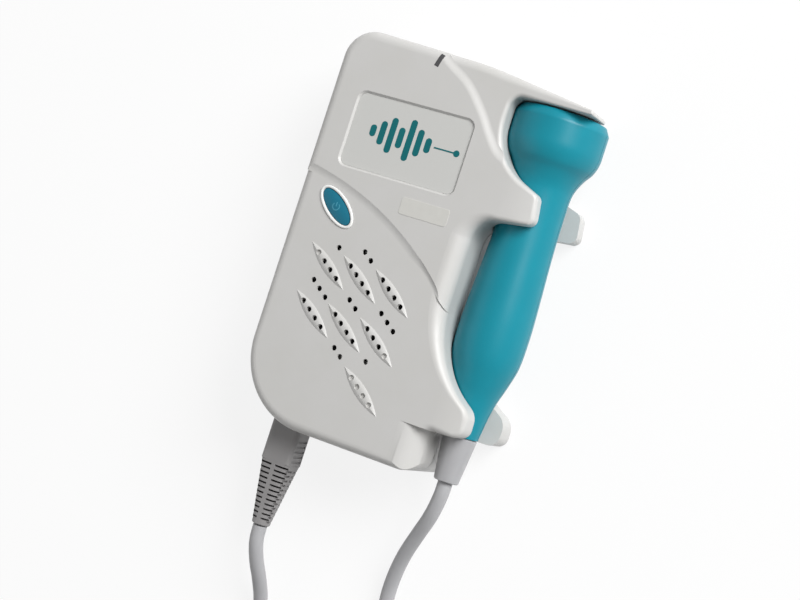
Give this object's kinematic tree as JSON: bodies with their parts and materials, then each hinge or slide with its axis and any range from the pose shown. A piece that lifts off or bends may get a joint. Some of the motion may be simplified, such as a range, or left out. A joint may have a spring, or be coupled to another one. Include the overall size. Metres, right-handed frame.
{
  "type": "fetal doppler monitor",
  "caption": "Pocket fetal heart monitor with a hand probe docked in its side, an oval power key, ribbed speaker openings, a volume wheel, a battery door and a plugged-in lead with a boot.",
  "frame": {"origin": "centre of the monitor's back at the lowest plane, without the lead", "axes": "+X to the docked probe's side, +Y from the plug end to the probe head end, +Z from the back to the face"},
  "size_m": [0.0918, 0.2701, 0.0347],
  "materials": {
    "housing": "fine satin texture, moulded ABS",
    "ring": "smooth white",
    "teal": "smooth satin teal",
    "button": "smooth satin teal",
    "overlay": "printed film",
    "dark_window": "smoked clear",
    "grey_rubber": "moulded matt grey",
    "clear_rubber": "translucent grey",
    "cord": "smooth grey jacket",
    "circuit_board": "solder mask",
    "black_plastic": "matt black",
    "steel": "plated",
    "ceramic": "fired ceramic with silvered faces",
    "paper": "pressed paper",
    "battery_wrap": "printed sleeve",
    "lamp": "clear green",
    "epoxy": "cast"
  },
  "bodies": {
    "unit": {"front_cover": "housing", "rear_cover": "housing", "display_overlay": "overlay", "indicator_window": "dark_window", "button_bezel": "ring", "main_board": "circuit_board", "indicator_lamp": "lamp", "button_switch": "black_plastic", "speaker_frame": "steel", "speaker_cone": "paper", "speaker_magnet": "steel", "volume_pot": "black_plastic", "headphone_jack": "black_plastic", "probe_socket": "black_plastic", "battery_left": "battery_wrap", "battery_right": "battery_wrap", "battery_spring_left": "steel", "battery_spring_right": "steel", "battery_contact_left_low": "steel", "battery_contact_left_high": "steel", "battery_contact_right_low": "steel", "battery_contact_right_high": "steel", "probe_plug": "grey_rubber", "plug_boot": "grey_rubber", "plug_cord": "cord", "cord_coil": "cord", "probe_cord": "cord", "case_screw_1": "steel", "case_screw_2": "steel", "case_screw_3": "steel", "case_screw_4": "steel", "board_screw_1": "steel", "board_screw_2": "steel", "board_screw_3": "steel"},
    "power_button": {"power_button": "button"},
    "volume_wheel": {"volume_wheel": "black_plastic"},
    "battery_door": {"battery_door": "housing"},
    "probe": {"probe_shell_front": "teal", "probe_shell_rear": "teal", "probe_face": "clear_rubber", "probe_crystal_left": "ceramic", "probe_crystal_right": "ceramic", "probe_backing": "epoxy", "probe_board": "circuit_board", "probe_collar": "steel", "probe_strain_relief": "clear_rubber"}
  },
  "joints": [
    {"name": "power_button_press", "type": "slide", "parent": "unit", "child": "power_button", "axis": [0, 0, -1], "range_m": [0, 0.001], "stiffness_N_per_m": 1000},
    {"name": "volume_wheel_turn", "type": "hinge", "parent": "unit", "child": "volume_wheel", "pos_m": [-0.037, 0.03753, 0.01575], "axis": [0, 0, 1], "range_deg": [-140, 140]},
    {"name": "battery_door_slide", "type": "slide", "parent": "unit", "child": "battery_door", "axis": [0, -1, 0], "range_m": [0, 0.008]},
    {"name": "probe_undock", "type": "slide", "parent": "unit", "child": "probe", "axis": [1, 0, 0], "range_m": [0, 0.045]}
  ]
}
